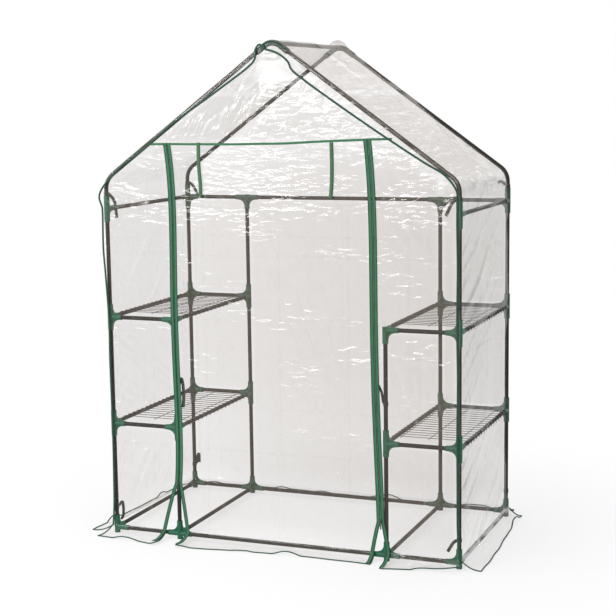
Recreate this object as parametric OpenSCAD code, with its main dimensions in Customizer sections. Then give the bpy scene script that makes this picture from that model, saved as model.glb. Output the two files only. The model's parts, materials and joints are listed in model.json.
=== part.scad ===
// Walk-in greenhouse: a steel tube frame in moulded connectors, wire shelves and a clear film cover.
// Millimetres, Z up, the front faces -Y. The origin is on the ground, under the middle of the frame.

/* [Frame] */
// Distance between the axes of the left and right corner posts
frame_w = 1414; // [1200:2:1800]
// Distance between the axes of the front and back posts
frame_d = 714; // [500:2:1000]
// Distance between the axes of the two inner posts beside the aisle
aisle_w = 856; // [600:2:900]
// Height of one tier, from rail axis to rail axis
tier_h = 425; // [300:1:550]
// Height of the base rails' axes above the ground
base_h = 22; // [18:1:40]
// Height from the eave rails to the point where the post and rafter lines meet
eave_rise = 112; // [95:1:160]
// Height from that point to the point where the two rafter lines meet
roof_rise = 516; // [400:1:650]
// Radius of the rafter's bend at the eaves, on the tube axis
bend_r = 70; // [50:1:80]
// Radius of the arch of the apex connectors, on the tube axis
apex_r = 50; // [35:1:70]

/* [Tubes] */
// Outer diameter of the steel tubes
tube_d = 16; // [14:0.5:20]
// Wall of the steel tubes
tube_wall = 0.8; // [0.5:0.1:1.5]

/* [Connectors] */
// Clearance between a tube and its socket, on the radius
socket_clear = 0.15; // [0.05:0.05:0.4]
// Wall of the sockets on the rails
sleeve_wall = 2.2; // [1.5:0.1:3.5]
// Extra wall of the sockets on the posts
post_extra = 0.8; // [0.4:0.1:1.5]
// Depth of the sockets
socket_depth = 36; // [25:1:45]
// Distance from a connector's middle to the bottom of its sockets
socket_stop = 14; // [12:0.5:18]
// Distance from the end of the apex arch to the bottom of the rafter sockets
apex_stop = 4; // [2:0.5:8]
// Thickness of the stiffening webs between the sockets
web_t = 5; // [3:0.5:8]
// Reach of the webs along the sockets, from the connector's middle
web_leg = 38; // [25:1:45]
// Height of the webs at their tips, from the socket's axis; the edge between the tips is hollowed
web_tip = 11; // [8:0.5:14]

/* [Shelves] */
// Thickness of the shelf wire
wire_d = 2.6; // [2:0.1:4]
// Pitch of the wires that cross a shelf
wire_pitch = 35; // [18:1:50]
// Distance of the first and last cross wires from the post axes
deck_margin = 95; // [70:1:140]
// Number of long wires under the cross wires
long_wires = 3; // [2:1:6]
// Distance of the outer long wires from the rail axes
long_inset = 30; // [20:1:60]
// Length of a wire's hooked end below the rail's axis
hook_tail = 9; // [4:1:14]

/* [Cover] */
// Thickness of the film
film_t = 1; // [0.4:0.1:2]
// Clearance between the film and the connectors
film_clear = 1; // [0.6:0.1:4]
// Height of the seam over the door
seam_z = 1550; // [1400:5:1650]
// Height of the film's bend at the foot of the walls
skirt_z = 32; // [25:1:60]
// Reach of the skirt beyond the walls
skirt_out = 72; // [40:1:120]

/* [Trim] */
// Distance of the zips from the middle of the front
zip_x = 408; // [300:1:430]
// Width of a closed zip with its tapes
zip_w = 27; // [18:1:40]
// Thickness of a zip
zip_t = 3; // [2:0.5:5]
// Height at which the zips part
split_z = 205; // [120:5:400]
// Width of the parted zips at the foot of the wall
split_w = 84; // [40:2:120]
// Width of the binding on the front edge and the seam
binding_w = 12; // [8:1:20]
// Thickness of the binding, and of the roll-up ties
binding_t = 1.6; // [1:0.1:3]
// Diameter of the hem round the skirt
hem_d = 6; // [4:0.5:10]
// Distance of the roll-up ties from the middle of the front
tie_x = 266; // [150:1:380]
// Width of the roll-up ties
tie_w = 15; // [10:1:25]
// Length of the roll-up ties
tie_l = 185; // [100:5:300]
// Width of the ties that hold the cover to the posts
strap_w = 14; // [8:1:25]
// Height of the lower ties' tops above the base rails, on the corner posts
strap_z = 92; // [75:1:150]

/* [Hidden] */
$fn = 48;
eps = 0.01;
// Gap left between pieces that are laid against each other
seat = 0.3;
// A bend's wall is this much fuller on each side, and the straight runs end this far inside it
bend_skin = 0.05;
bend_lap = 1.5;
// Height by which the tapes on the skirt run up into the trim on the wall
tape_lap = 0.7;

tube_r = tube_d / 2;
bore_r = tube_r + socket_clear;
sleeve_r = bore_r + sleeve_wall;
post_sleeve_r = sleeve_r + post_extra;
arm_len = socket_stop + socket_depth;

x_out = frame_w / 2;
x_in = aisle_w / 2;
y_post = frame_d / 2;
function level(i) = base_h + i * tier_h;
z_eave = level(3);
z_bend = z_eave + eave_rise;
z_apex = z_bend + roof_rise;
pitch = atan2(roof_rise, x_out);
bend_angle = 90 - pitch;
bend_x = x_out - bend_r;
bend_tangent = bend_r * tan(bend_angle / 2);
bend_z = z_bend - bend_tangent;
slope_len = norm([x_out, roof_rise]);
apex_tangent = apex_r * tan(pitch);
// Middle of the apex arch, and the axis of the ridge tube on top of it
arch_z = z_apex - apex_r / cos(pitch);
ridge_z = arch_z + apex_r;

// Film faces, as distances from the tube axes
film_in = post_sleeve_r + film_clear;
film_out = film_in + film_t;
wrap_d = frame_d + 2 * film_out;
front_y = -(y_post + film_out);

skirt_slope = atan2(skirt_z, skirt_out);
skirt_t = film_t / sin(skirt_slope);
hem_r = hem_d / 2;
hem_out = skirt_out + skirt_t + (hem_r + seat - hem_r * cos(skirt_slope)) / sin(skirt_slope);
panel_x = zip_x + split_w / 2;

tube_colour = [0.25, 0.24, 0.22];
connector_colour = [0.10, 0.36, 0.24];
wire_colour = [0.33, 0.34, 0.33];
film_colour = [0.88, 0.90, 0.90, 0.35];
trim_colour = [0.05, 0.40, 0.22];
strap_colour = [0.07, 0.20, 0.14];

// Tubes

module tube(length) {
    difference() {
        cylinder(h = length, r = tube_r);
        translate([0, 0, -eps]) cylinder(h = length + 2 * eps, r = tube_r - tube_wall);
    }
}

// A tube between two connectors, from the bottom of one socket to the bottom of the other
module socketed_tube(from, to) {
    way = to - from;
    length = norm(way);
    turn = [0, acos(way.z / length), atan2(way.y, way.x)];
    color(tube_colour) translate(from) rotate(turn)
        translate([0, 0, socket_stop]) tube(length - 2 * socket_stop);
}

module post(x, y, tiers) {
    for (i = [0 : tiers - 1]) socketed_tube([x, y, level(i)], [x, y, level(i + 1)]);
}

module base_rail(y) {
    stations = [-x_out, -x_in, x_in, x_out];
    for (i = [0 : 2]) socketed_tube([stations[i], y, base_h], [stations[i + 1], y, base_h]);
}

module cross_rail(x, z) {
    socketed_tube([x, -y_post, z], [x, y_post, z]);
}

module base_cross_rails(side) {
    for (x = [x_in, x_out]) cross_rail(side * x, base_h);
}

module shelf_rails(side, i) {
    for (y = [-y_post, y_post]) socketed_tube([side * x_in, y, level(i)], [side * x_out, y, level(i)]);
    for (x = [x_in, x_out]) cross_rail(side * x, level(i));
}

module back_eave_rail() {
    stations = [-x_out, -x_in, x_in, x_out];
    for (i = [0 : 2]) socketed_tube([stations[i], y_post, z_eave], [stations[i + 1], y_post, z_eave]);
}

module side_eave_rails() {
    for (side = [-1, 1]) cross_rail(side * x_out, z_eave);
}

// One bent tube on the right: a short leg, the eave bend and the slope up to the apex
module rafter(y) {
    translate([x_out, y, z_eave + socket_stop]) tube(bend_z - z_eave - socket_stop + bend_lap);
    translate([bend_x, y, bend_z]) rotate([90, 0, 0]) rotate_extrude(angle = bend_angle)
        translate([bend_r, 0]) difference() {
            circle(r = tube_r + bend_skin);
            circle(r = tube_r - tube_wall - bend_skin);
        }
    translate([0, y, z_apex]) rotate([0, 90 + pitch, 0]) translate([0, 0, apex_tangent + apex_stop])
        tube(slope_len - bend_tangent - apex_tangent - apex_stop + bend_lap);
}

module rafter_pair(y) {
    color(tube_colour) {
        rafter(y);
        mirror([1, 0, 0]) rafter(y);
    }
}

module ridge_tube() {
    socketed_tube([0, -y_post, ridge_z], [0, y_post, ridge_z]);
}

// Connectors

module along(way) {
    rotate([0, acos(way.z), atan2(way.y, way.x)]) children();
}

// A web in the corner between two sockets that point along a and b
module web(a, b) {
    n = cross(a, b);
    multmatrix([[a.x, b.x, n.x, 0], [a.y, b.y, n.y, 0], [a.z, b.z, n.z, 0], [0, 0, 0, 1]])
        translate([0, 0, -web_t / 2]) linear_extrude(web_t) difference() {
            square(web_leg);
            translate([web_leg, web_leg]) circle(r = web_leg - web_tip);
        }
}

// A moulded connector: a socket for each way in rails and posts, and webs from each rail to the webbed ways
module connector(rails, posts, webbed, foot = 0, cap = 0) {
    difference() {
        union() {
            for (way = posts) along(way) cylinder(h = arm_len, r = post_sleeve_r);
            for (way = rails) along(way) cylinder(h = arm_len, r = sleeve_r);
            for (way = rails, side = webbed) web(way, side);
            if (foot > 0) translate([0, 0, -foot]) cylinder(h = foot, r = post_sleeve_r);
            if (cap > 0) cylinder(h = cap, r = post_sleeve_r);
        }
        for (way = concat(rails, posts)) along(way)
            translate([0, 0, socket_stop]) cylinder(h = socket_depth + 1, r = bore_r);
    }
}

up = [0, 0, 1];
down = [0, 0, -1];

module base_connectors() {
    color(connector_colour) for (x = [-1, 1], y = [-1, 1]) {
        translate([x * x_out, y * y_post, base_h])
            connector([[-x, 0, 0], [0, -y, 0]], [up], [up], foot = base_h);
        translate([x * x_in, y * y_post, base_h])
            connector([[-1, 0, 0], [1, 0, 0], [0, -y, 0]], [up], [up], foot = base_h);
    }
}

// The front inner posts end at the upper shelf, in a capped connector
module shelf_connectors(i, capped) {
    color(connector_colour) for (x = [-1, 1], y = [-1, 1]) {
        translate([x * x_out, y * y_post, level(i)])
            connector([[-x, 0, 0], [0, -y, 0]], [up, down], [up, down]);
        ends = capped && y < 0;
        posts = ends ? [down] : [up, down];
        translate([x * x_in, y * y_post, level(i)])
            connector([[x, 0, 0], [0, -y, 0]], posts, posts, cap = ends ? post_sleeve_r : 0);
    }
}

module eave_connectors() {
    color(connector_colour) for (x = [-1, 1]) {
        translate([x * x_out, -y_post, z_eave]) connector([[0, 1, 0]], [up, down], [down]);
        translate([x * x_out, y_post, z_eave])
            connector([[-x, 0, 0], [0, -1, 0]], [up, down], [down]);
        translate([x * x_in, y_post, z_eave])
            connector([[-1, 0, 0], [1, 0, 0]], [down], [down], cap = post_sleeve_r);
    }
}

// A rafter socket of the apex connector, from the end of its arch down the right slope
module rafter_socket() {
    translate([0, 0, z_apex]) rotate([0, 90 + pitch, 0]) translate([0, 0, apex_tangent]) difference() {
        translate([0, 0, -bend_lap]) cylinder(h = bend_lap + apex_stop + socket_depth, r = post_sleeve_r);
        translate([0, 0, apex_stop]) cylinder(h = socket_depth + 1, r = bore_r);
    }
}

// The apex connector is an arch between two rafter sockets, with the ridge tube's socket behind it
module apex_connector(inward) {
    rafter_socket();
    mirror([1, 0, 0]) rafter_socket();
    difference() {
        union() {
            translate([0, 0, arch_z]) rotate([90, 0, 0]) rotate([0, 0, bend_angle])
                rotate_extrude(angle = 2 * pitch)
                    translate([apex_r, 0]) circle(r = post_sleeve_r + bend_skin);
            translate([0, 0, ridge_z]) along([0, inward, 0]) cylinder(h = arm_len, r = sleeve_r);
        }
        translate([0, 0, ridge_z]) along([0, inward, 0])
            translate([0, 0, socket_stop]) cylinder(h = socket_depth + 1, r = bore_r);
    }
}

module ridge_connectors() {
    color(connector_colour) for (y = [-1, 1]) translate([0, y * y_post, 0]) apex_connector(-y);
}

// Shelves: cross wires that hook over the two depth rails, on long wires welded under them

// The end of a wire, hooked over the rail at the origin from its top down its outer side
module wire_hook() {
    translate([0, wire_d / 2, 0]) rotate([90, 0, 0]) rotate([0, 0, 90])
        rotate_extrude(angle = 90) translate([tube_r + seat, 0]) square(wire_d);
    translate([-tube_r - seat - wire_d, -wire_d / 2, -hook_tail]) cube([wire_d, wire_d, hook_tail]);
}

module shelf_wire(width) {
    translate([0, -wire_d / 2, tube_r + seat]) cube([width, wire_d, wire_d]);
    wire_hook();
    translate([width, 0, 0]) mirror([1, 0, 0]) wire_hook();
}

module wire_shelf(side, i) {
    width = x_out - x_in;
    span = frame_d - 2 * deck_margin;
    gaps = 2 * floor(span / wire_pitch / 2);
    pitch_y = span / gaps;
    long_gap = (width - 2 * long_inset) / (long_wires - 1);
    weld = wire_d / 4;
    color(wire_colour) translate([side > 0 ? x_in : -x_out, 0, level(i)]) {
        for (k = [0 : gaps]) translate([0, k * pitch_y - span / 2, 0]) shelf_wire(width);
        for (k = [0 : long_wires - 1])
            translate([long_inset + k * long_gap, 0, tube_r + seat + weld - wire_d])
                translate([-wire_d / 2, -span / 2 - wire_pitch / 2, 0])
                    cube([wire_d, span + wire_pitch, wire_d]);
    }
}

// Film

// The frame's outline seen from the front, g outside the tube axes, from the foot of the walls up
module outline(g) {
    r = bend_r + g;
    wall_x = x_out + g;
    slope_x = bend_x + r * sin(pitch);
    slope_z = bend_z + r * cos(pitch);
    top_x = (apex_r + g) * sin(pitch);
    top_z = arch_z + (apex_r + g) * cos(pitch);
    polygon([[-wall_x, skirt_z], [wall_x, skirt_z], [wall_x, bend_z], [slope_x, slope_z], [top_x, top_z],
        [-top_x, top_z], [-slope_x, slope_z], [-wall_x, bend_z]]);
    for (side = [-1, 1]) translate([side * bend_x, bend_z]) circle(r = r);
    translate([0, arch_z]) circle(r = apex_r + g);
}

// A flat shape drawn as seen from the front, stood up with its front face at y
module upright(y, thick) {
    translate([0, y + thick, 0]) rotate([90, 0, 0]) linear_extrude(thick) children();
}

module wall_film(side) {
    x = side > 0 ? x_out + film_in : -x_out - film_out;
    color(film_colour) translate([x, -wrap_d / 2, skirt_z]) cube([film_t, wrap_d, bend_z - skirt_z]);
}

module eave_film() {
    color(film_colour) translate([bend_x, wrap_d / 2, bend_z]) rotate([90, 0, 0])
        rotate_extrude(angle = bend_angle) translate([bend_r + film_in, 0]) square([film_t, wrap_d]);
}

module roof_film() {
    // The point at angle pitch from the top of a round of radius r
    function slope_point(x, z, r) = [x + r * sin(pitch), z + r * cos(pitch)];
    color(film_colour) upright(-wrap_d / 2, wrap_d) polygon([
        slope_point(bend_x, bend_z, bend_r + film_in), slope_point(bend_x, bend_z, bend_r + film_out),
        slope_point(0, arch_z, apex_r + film_out), slope_point(0, arch_z, apex_r + film_in)]);
}

module ridge_film() {
    color(film_colour) translate([0, wrap_d / 2, arch_z]) rotate([90, 0, 0]) rotate([0, 0, bend_angle])
        rotate_extrude(angle = 2 * pitch) translate([apex_r + film_in, 0]) square([film_t, wrap_d]);
}

module back_film() {
    color(film_colour) upright(y_post + film_in, film_t) outline(film_in - seat);
}

// The opening where a zip is parted, from its split down to the foot of the wall
module zip_slit(side) {
    polygon([[side * zip_x, split_z], [side * panel_x, skirt_z - eps],
        [side * (zip_x - split_w / 2), skirt_z - eps]]);
}

module front_panel(x0, x1, z0, z1) {
    color(film_colour) upright(front_y, film_t) difference() {
        intersection() {
            outline(film_in - seat);
            translate([x0, z0]) square([x1 - x0, z1 - z0]);
        }
        for (side = [-1, 1]) zip_slit(side);
    }
}

module front_side_film(side) {
    front_panel(side > 0 ? zip_x + seat : -x_out - film_in, side > 0 ? x_out + film_in : -zip_x - seat,
        skirt_z, seam_z - seat);
}

module door_film() {
    front_panel(seat - zip_x, zip_x - seat, skirt_z, seam_z - seat);
}

module gable_film() {
    front_panel(-x_out, x_out, seam_z, z_apex);
}

// A flap of the skirt along X, from the foot of the wall out to the ground at +Y
module flap(length) {
    rotate([90, 0, 90]) linear_extrude(length)
        polygon([[0, skirt_z], [skirt_t, skirt_z], [skirt_out + skirt_t, 0], [skirt_out, 0]]);
}

// The rod in the hem of such a flap
module hem_rod(length) {
    translate([0, hem_out, hem_r]) rotate([0, 90, 0]) cylinder(h = length, r = hem_r);
}

// One strip of the skirt or its hem, length long
module skirt_strip(length, hemmed) {
    if (hemmed) hem_rod(length);
    else flap(length);
}

// The strips round the foot of the cover: two walls, the back, and the front beside and under the door
module skirt_strips(hemmed) {
    front_end = x_out + film_in - seat;
    door_end = panel_x - split_w;
    for (side = [-1, 1]) {
        translate([side * (x_out + film_in), side * wrap_d / 2, 0]) rotate([0, 0, -side * 90])
            skirt_strip(wrap_d, hemmed);
        translate([side > 0 ? front_end : -panel_x, front_y + film_t, 0]) rotate([0, 0, 180])
            skirt_strip(front_end - panel_x, hemmed);
    }
    translate([door_end, front_y + film_t, 0]) rotate([0, 0, 180]) skirt_strip(2 * door_end, hemmed);
    translate([-front_end, y_post + film_in, 0]) skirt_strip(2 * front_end, hemmed);
}

module ground_skirt() {
    color(film_colour) skirt_strips(false);
}

// Trim

// A tape on the front skirt from x0 to x1, from the trim on the wall down to the hem
module skirt_tape(x0, x1) {
    thick = binding_t / sin(skirt_slope);
    top_z = skirt_z + tape_lap;
    foot_z = hem_r + seat;
    function face(z) = skirt_t + seat / sin(skirt_slope) + (skirt_z - z) / tan(skirt_slope);
    translate([x1, front_y + film_t, 0]) rotate([0, 0, 180]) rotate([90, 0, 90]) linear_extrude(x1 - x0)
        polygon([[face(top_z), top_z], [face(top_z) + thick, top_z],
            [face(foot_z) + thick, foot_z], [face(foot_z), foot_z]]);
}

// A zip, parted at its foot, whose two tapes run on over the skirt
module zip(side) {
    half_w = zip_w / 2;
    foot_w = split_w / 2 + half_w;
    color(trim_colour) {
        upright(front_y - zip_t, zip_t) difference() {
            translate([side * zip_x, 0]) polygon([[-half_w, seam_z], [half_w, seam_z], [half_w, split_z],
                [foot_w, skirt_z], [-foot_w, skirt_z], [-half_w, split_z]]);
            zip_slit(side);
        }
        skirt_tape(side * zip_x - foot_w, side * zip_x - split_w / 2);
        skirt_tape(side * zip_x + split_w / 2, side * zip_x + foot_w);
    }
}

module front_binding() {
    inner_x = x_out + film_out - binding_w;
    outer_x = x_out + film_in - seat;
    color(trim_colour) {
        upright(front_y - binding_t, binding_t) difference() {
            outline(film_out);
            outline(film_out - binding_w);
            translate([0, skirt_z]) square([2 * inner_x, 2 * eps], center = true);
        }
        skirt_tape(-outer_x, -inner_x);
        skirt_tape(inner_x, outer_x);
    }
}

// The seam over the door, between the bindings of the two slopes and over the heads of the zips
module door_seam() {
    color(trim_colour) upright(front_y - binding_t, binding_t) intersection() {
        outline(film_out - binding_w - seat);
        translate([-x_out, seam_z + eps]) square([frame_w, binding_w]);
    }
}

module hem() {
    color(trim_colour) skirt_strips(true);
}

module roll_up_ties() {
    color(trim_colour) for (side = [-1, 1])
        translate([side * tie_x - tie_w / 2, front_y - binding_t, seam_z - tie_l])
            cube([tie_w, binding_t, tie_l]);
}

// A tie of the cover, laid round a post
module strap(x, y, z) {
    translate([x, y, z]) rotate_extrude() translate([tube_r + seat, 0]) square([binding_t, strap_w]);
}

module post_straps() {
    color(strap_colour) for (x = [-1, 1]) {
        for (y = [-1, 1]) {
            strap(x * x_out, y * y_post, base_h + strap_z - strap_w);
            strap(x * x_out, y * y_post, z_eave + arm_len + seat);
        }
        strap(x * x_in, -y_post, level(1) + tier_h / 3);
    }
}

post(-x_out, -y_post, 3);  // front_left_post
post(x_out, -y_post, 3);  // front_right_post
post(-x_out, y_post, 3);  // back_left_post
post(x_out, y_post, 3);  // back_right_post
post(-x_in, -y_post, 2);  // front_left_inner_post
post(x_in, -y_post, 2);  // front_right_inner_post
post(-x_in, y_post, 3);  // back_left_inner_post
post(x_in, y_post, 3);  // back_right_inner_post
base_rail(-y_post);  // front_base_rail
base_rail(y_post);  // back_base_rail
base_cross_rails(-1);  // left_base_rails
base_cross_rails(1);  // right_base_rails
shelf_rails(-1, 1);  // left_lower_shelf_rails
shelf_rails(-1, 2);  // left_upper_shelf_rails
shelf_rails(1, 1);  // right_lower_shelf_rails
shelf_rails(1, 2);  // right_upper_shelf_rails
back_eave_rail();
side_eave_rails();
rafter_pair(-y_post);  // front_rafters
rafter_pair(y_post);  // back_rafters
ridge_tube();
base_connectors();
shelf_connectors(1, false);  // lower_shelf_connectors
shelf_connectors(2, true);  // upper_shelf_connectors
eave_connectors();
ridge_connectors();
wire_shelf(-1, 1);  // left_lower_shelf
wire_shelf(-1, 2);  // left_upper_shelf
wire_shelf(1, 1);  // right_lower_shelf
wire_shelf(1, 2);  // right_upper_shelf
wall_film(-1);  // left_wall_film
wall_film(1);  // right_wall_film
mirror([1, 0, 0]) eave_film();  // left_eave_film
eave_film();  // right_eave_film
mirror([1, 0, 0]) roof_film();  // left_roof_film
roof_film();  // right_roof_film
ridge_film();
back_film();
front_side_film(-1);  // front_left_film
front_side_film(1);  // front_right_film
door_film();
gable_film();
ground_skirt();
zip(-1);  // left_zip
zip(1);  // right_zip
front_binding();
door_seam();
hem();
roll_up_ties();
post_straps();
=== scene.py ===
import json
import math
from itertools import product

import bmesh
import bpy
import numpy as np
from bpy.props import FloatProperty, FloatVectorProperty, IntProperty, PointerProperty
from mathutils import Matrix, Vector, noise


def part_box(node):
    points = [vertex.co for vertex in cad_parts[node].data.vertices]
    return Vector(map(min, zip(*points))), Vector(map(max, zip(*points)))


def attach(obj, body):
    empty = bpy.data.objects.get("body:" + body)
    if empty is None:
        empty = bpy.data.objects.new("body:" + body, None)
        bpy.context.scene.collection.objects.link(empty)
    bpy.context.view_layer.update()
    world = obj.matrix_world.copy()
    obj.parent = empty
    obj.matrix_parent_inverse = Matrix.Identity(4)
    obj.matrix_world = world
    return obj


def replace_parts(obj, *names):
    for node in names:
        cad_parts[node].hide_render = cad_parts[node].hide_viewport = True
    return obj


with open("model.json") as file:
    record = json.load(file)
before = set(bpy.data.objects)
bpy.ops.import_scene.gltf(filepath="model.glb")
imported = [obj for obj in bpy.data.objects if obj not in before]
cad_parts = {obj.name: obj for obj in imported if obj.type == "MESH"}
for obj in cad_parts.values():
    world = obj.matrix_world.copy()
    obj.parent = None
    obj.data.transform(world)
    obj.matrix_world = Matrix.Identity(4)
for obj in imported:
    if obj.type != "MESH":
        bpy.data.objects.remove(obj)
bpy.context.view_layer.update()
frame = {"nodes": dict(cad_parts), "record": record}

bl_info = {
    "name": "Film Greenhouse",
    "version": (1, 0, 0),
    "blender": (4, 5, 0),
    "location": "View3D > Sidebar > Greenhouse",
    "description": "Dresses a tube-framed greenhouse with its film cover, trim, shelves and finishes",
    "category": "Object",
}


# Places read from the frame, in metres

def middle(node, axis):
    """Middle of a node's box along one axis."""
    low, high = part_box(node)
    return (low[axis] + high[axis]) / 2


def extent(node, axis):
    """Length of a node's box along one axis."""
    low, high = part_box(node)
    return high[axis] - low[axis]


X, Y, Z = 0, 1, 2
X_OUT = middle("front_right_post", X)
X_IN = middle("back_right_inner_post", X)
Y_POST = middle("back_right_post", Y)
TUBE_R = extent("front_right_post", X) / 2
BASE_Z = middle("front_base_rail", Z)
SHELF_Z = [middle("left_lower_shelf_rails", Z), middle("left_upper_shelf_rails", Z)]
EAVE_Z = middle("side_eave_rails", Z)
FILM_T = extent("right_wall_film", X)
FILM = middle("right_wall_film", X) - X_OUT
SKIRT_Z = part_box("right_wall_film")[0][Z]
BEND_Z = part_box("right_wall_film")[1][Z]
# The roof film's box without what its thickness adds, at a slope of about 3 to 4
ROOF_RISE = extent("right_roof_film", Z) - FILM_T * 0.8
ROOF_RUN = extent("right_roof_film", X) - FILM_T * 0.6
PITCH = math.atan2(ROOF_RISE, ROOF_RUN)
UPRIGHT = math.pi / 2
EAVE_R = extent("right_eave_film", Z) / math.cos(PITCH) - FILM_T / 2
EAVE_X = X_OUT + FILM - EAVE_R
RIDGE_R = extent("ridge_film", X) / 2 / math.sin(PITCH) - FILM_T / 2
RIDGE_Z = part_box("ridge_film")[1][Z] - FILM_T / 2 - RIDGE_R
TOP_Z = RIDGE_Z + RIDGE_R


def arc(x, z, radius, turn):
    """(x, z, turn) on an arc round a centre, turned from straight up towards the right."""
    return x + radius * math.sin(turn), z + radius * math.cos(turn), turn


# Ends (x, z) of the straight right slope
SLOPE_TOP = arc(0, RIDGE_Z, RIDGE_R, PITCH)[:2]
SLOPE_FOOT = arc(EAVE_X, BEND_Z, EAVE_R, PITCH)[:2]
FRONT_Y = -Y_POST - FILM
SEAM_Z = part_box("door_seam")[0][Z]
SEAM_H = extent("door_seam", Z)
ZIP_W = 0.027
ZIP_X = middle("right_zip", X)
# By side, -1 for left and 1 for right: heights where the zips start and where they part
ZIP_TOP = {-1: SEAM_Z, 1: SEAM_Z + 0.011}
SPLIT_Z = {-1: 0.228, 1: 0.150}
HEM_R = extent("hem", Z) / 2
SKIRT_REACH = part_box("hem")[1][X] - HEM_R - X_OUT - FILM
# Length of film that a skirt was cut to
SKIRT_CUT = SKIRT_REACH + SKIRT_Z * 0.4
TIE_W = 0.015
TIE_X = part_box("roll_up_ties")[1][X] - TIE_W / 2
TIE_L = extent("roll_up_ties", Z) + 0.018

# How the loose cover hangs: its front is pulled a little to the left, so the zips lean.
# (height, x) along each zip, and the spread of its two legs at the foot
ZIP_HANG = {
    -1: ((0.20, -0.423), (0.50, -0.414), (0.72, -0.416), (1.12, -0.419), (1.28, -0.414), (1.55, -0.433)),
    1: ((0.14, 0.411), (0.50, 0.399), (0.87, 0.389), (1.12, 0.391), (1.30, 0.385), (1.55, 0.371)),
}
ZIP_CURVE = {side: np.polyfit(*zip(*places), 4) for side, places in ZIP_HANG.items()}
ZIP_SPREAD = {(-1, 1): 0.060, (-1, -1): 0.028, (1, 1): 0.022, (1, -1): 0.026}
FRONT_PULL = -0.033
# (place along the edge, reach) of the skirt where it was laid out by hand
SKIRT_FRONT = ((-0.76, 0.066), (-0.56, 0.084), (-0.47, 0.102), (-0.40, 0.106), (-0.15, 0.066),
               (0.10, 0.048), (0.38, 0.056), (0.44, 0.090), (0.60, 0.054), (0.75, 0.042))
SKIRT_RIGHT = ((-0.36, 0.074), (-0.10, 0.070), (0.18, 0.052), (0.26, 0.040), (0.37, 0.048))
SKIRT_LEFT = ((-0.36, 0.092), (0.0, 0.070), (0.37, 0.060))
SKIRT_BACK = ((-0.72, 0.070), (-0.3, 0.082), (0.2, 0.066), (0.72, 0.078))
# How far the skirt's left front corner spreads sideways
SKIRT_FLARE = 0.032


# What a user would change

class FilmSettings(bpy.types.PropertyGroup):
    """Clear film of the cover"""
    wrinkle: FloatProperty(
        name="Wrinkle", description="Height of the broad wrinkles", default=0.0075, unit="LENGTH")
    crease_gap: FloatProperty(
        name="Crease gap", description="Distance between the creases left by folding", default=0.29,
        unit="LENGTH")
    mesh_step: FloatProperty(
        name="Mesh step", description="Spacing of the film's mesh", default=0.009, unit="LENGTH")
    colour: FloatVectorProperty(
        name="Colour", description="Colour of the film's haze", default=(0.27, 0.20, 0.145),
        subtype="COLOR", min=0, max=1)
    haze: FloatProperty(
        name="Haze", description="Share of light that smooth film stops", default=0.205,
        subtype="FACTOR", min=0, max=1)


class TrimSettings(bpy.types.PropertyGroup):
    """Green zips, bindings and ties"""
    colour: FloatVectorProperty(
        name="Green", description="Colour of the tapes", default=(0.048, 0.185, 0.085),
        subtype="COLOR", min=0, max=1)
    dark: FloatVectorProperty(
        name="Dark green", description="Colour of the bindings and straps", default=(0.018, 0.075, 0.045),
        subtype="COLOR", min=0, max=1)
    tooth_pitch: FloatProperty(
        name="Tooth pitch", description="Distance between the zip's teeth", default=0.0034, unit="LENGTH")
    stitch_pitch: FloatProperty(
        name="Stitch pitch", description="Distance between stitches", default=0.0075, unit="LENGTH")
    piping: FloatProperty(
        name="Piping", description="Width of the piping on the front edge", default=0.008, unit="LENGTH")


class FrameSettings(bpy.types.PropertyGroup):
    """Tubes, connectors and shelf wire"""
    tube: FloatVectorProperty(
        name="Tube", description="Colour of the coated steel tube", default=(0.040, 0.040, 0.037),
        subtype="COLOR", min=0, max=1)
    connector: FloatVectorProperty(
        name="Connector", description="Colour of the moulded connectors", default=(0.018, 0.120, 0.066),
        subtype="COLOR", min=0, max=1)
    # Painted shade: the same green connectors, drawn duller and darker towards the back
    connector_back_shade: FloatVectorProperty(
        name="Connector at the back", description="Duller colour of the connectors at the back",
        default=(0.032, 0.084, 0.058), subtype="COLOR", min=0, max=1)
    wire: FloatVectorProperty(
        name="Wire", description="Colour of the shelf wire", default=(0.022, 0.020, 0.018),
        subtype="COLOR", min=0, max=1)
    wire_r: FloatProperty(
        name="Wire radius", description="Radius of the shelf wire", default=0.0012, unit="LENGTH")
    wire_count: IntProperty(
        name="Cross wires", description="Number of wires across a shelf", default=15, min=2)
    wire_overhang: FloatProperty(
        name="Overhang", description="Length of the long wires beyond the last cross wires", default=0.0175,
        unit="LENGTH")
    long_inset: FloatProperty(
        name="Inset", description="Distance of the outer long wires from the rails", default=0.030,
        unit="LENGTH")
    hook_tail: FloatProperty(
        name="Hook tail", description="Length of a hooked wire below the rail's axis", default=0.009,
        unit="LENGTH")
    long_wires: IntProperty(
        name="Long wires", description="Number of wires along a shelf", default=3, min=2)


class StageSettings(bpy.types.PropertyGroup):
    """Camera and light"""
    azimuth: FloatProperty(
        name="Azimuth", description="Way round from the front to the right", default=math.radians(21.48),
        subtype="ANGLE")
    elevation: FloatProperty(
        name="Elevation", description="Height of the view over the horizon", default=math.radians(8.21),
        subtype="ANGLE")
    roll: FloatProperty(
        name="Roll", description="Turn of the camera about its view", default=math.radians(-0.79),
        subtype="ANGLE")
    distance: FloatProperty(
        name="Distance", description="From the camera to its target", default=5.787, unit="LENGTH")
    target: FloatVectorProperty(
        name="Target", description="Point in the middle of the picture", default=(-0.014, 0.0, 0.885),
        subtype="XYZ", unit="LENGTH")
    lens: FloatProperty(
        name="Lens", description="Focal length in millimetres", default=85.0, unit="CAMERA")
    world: FloatProperty(
        name="Ambient", description="Strength of the light from all round", default=0.45)


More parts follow.
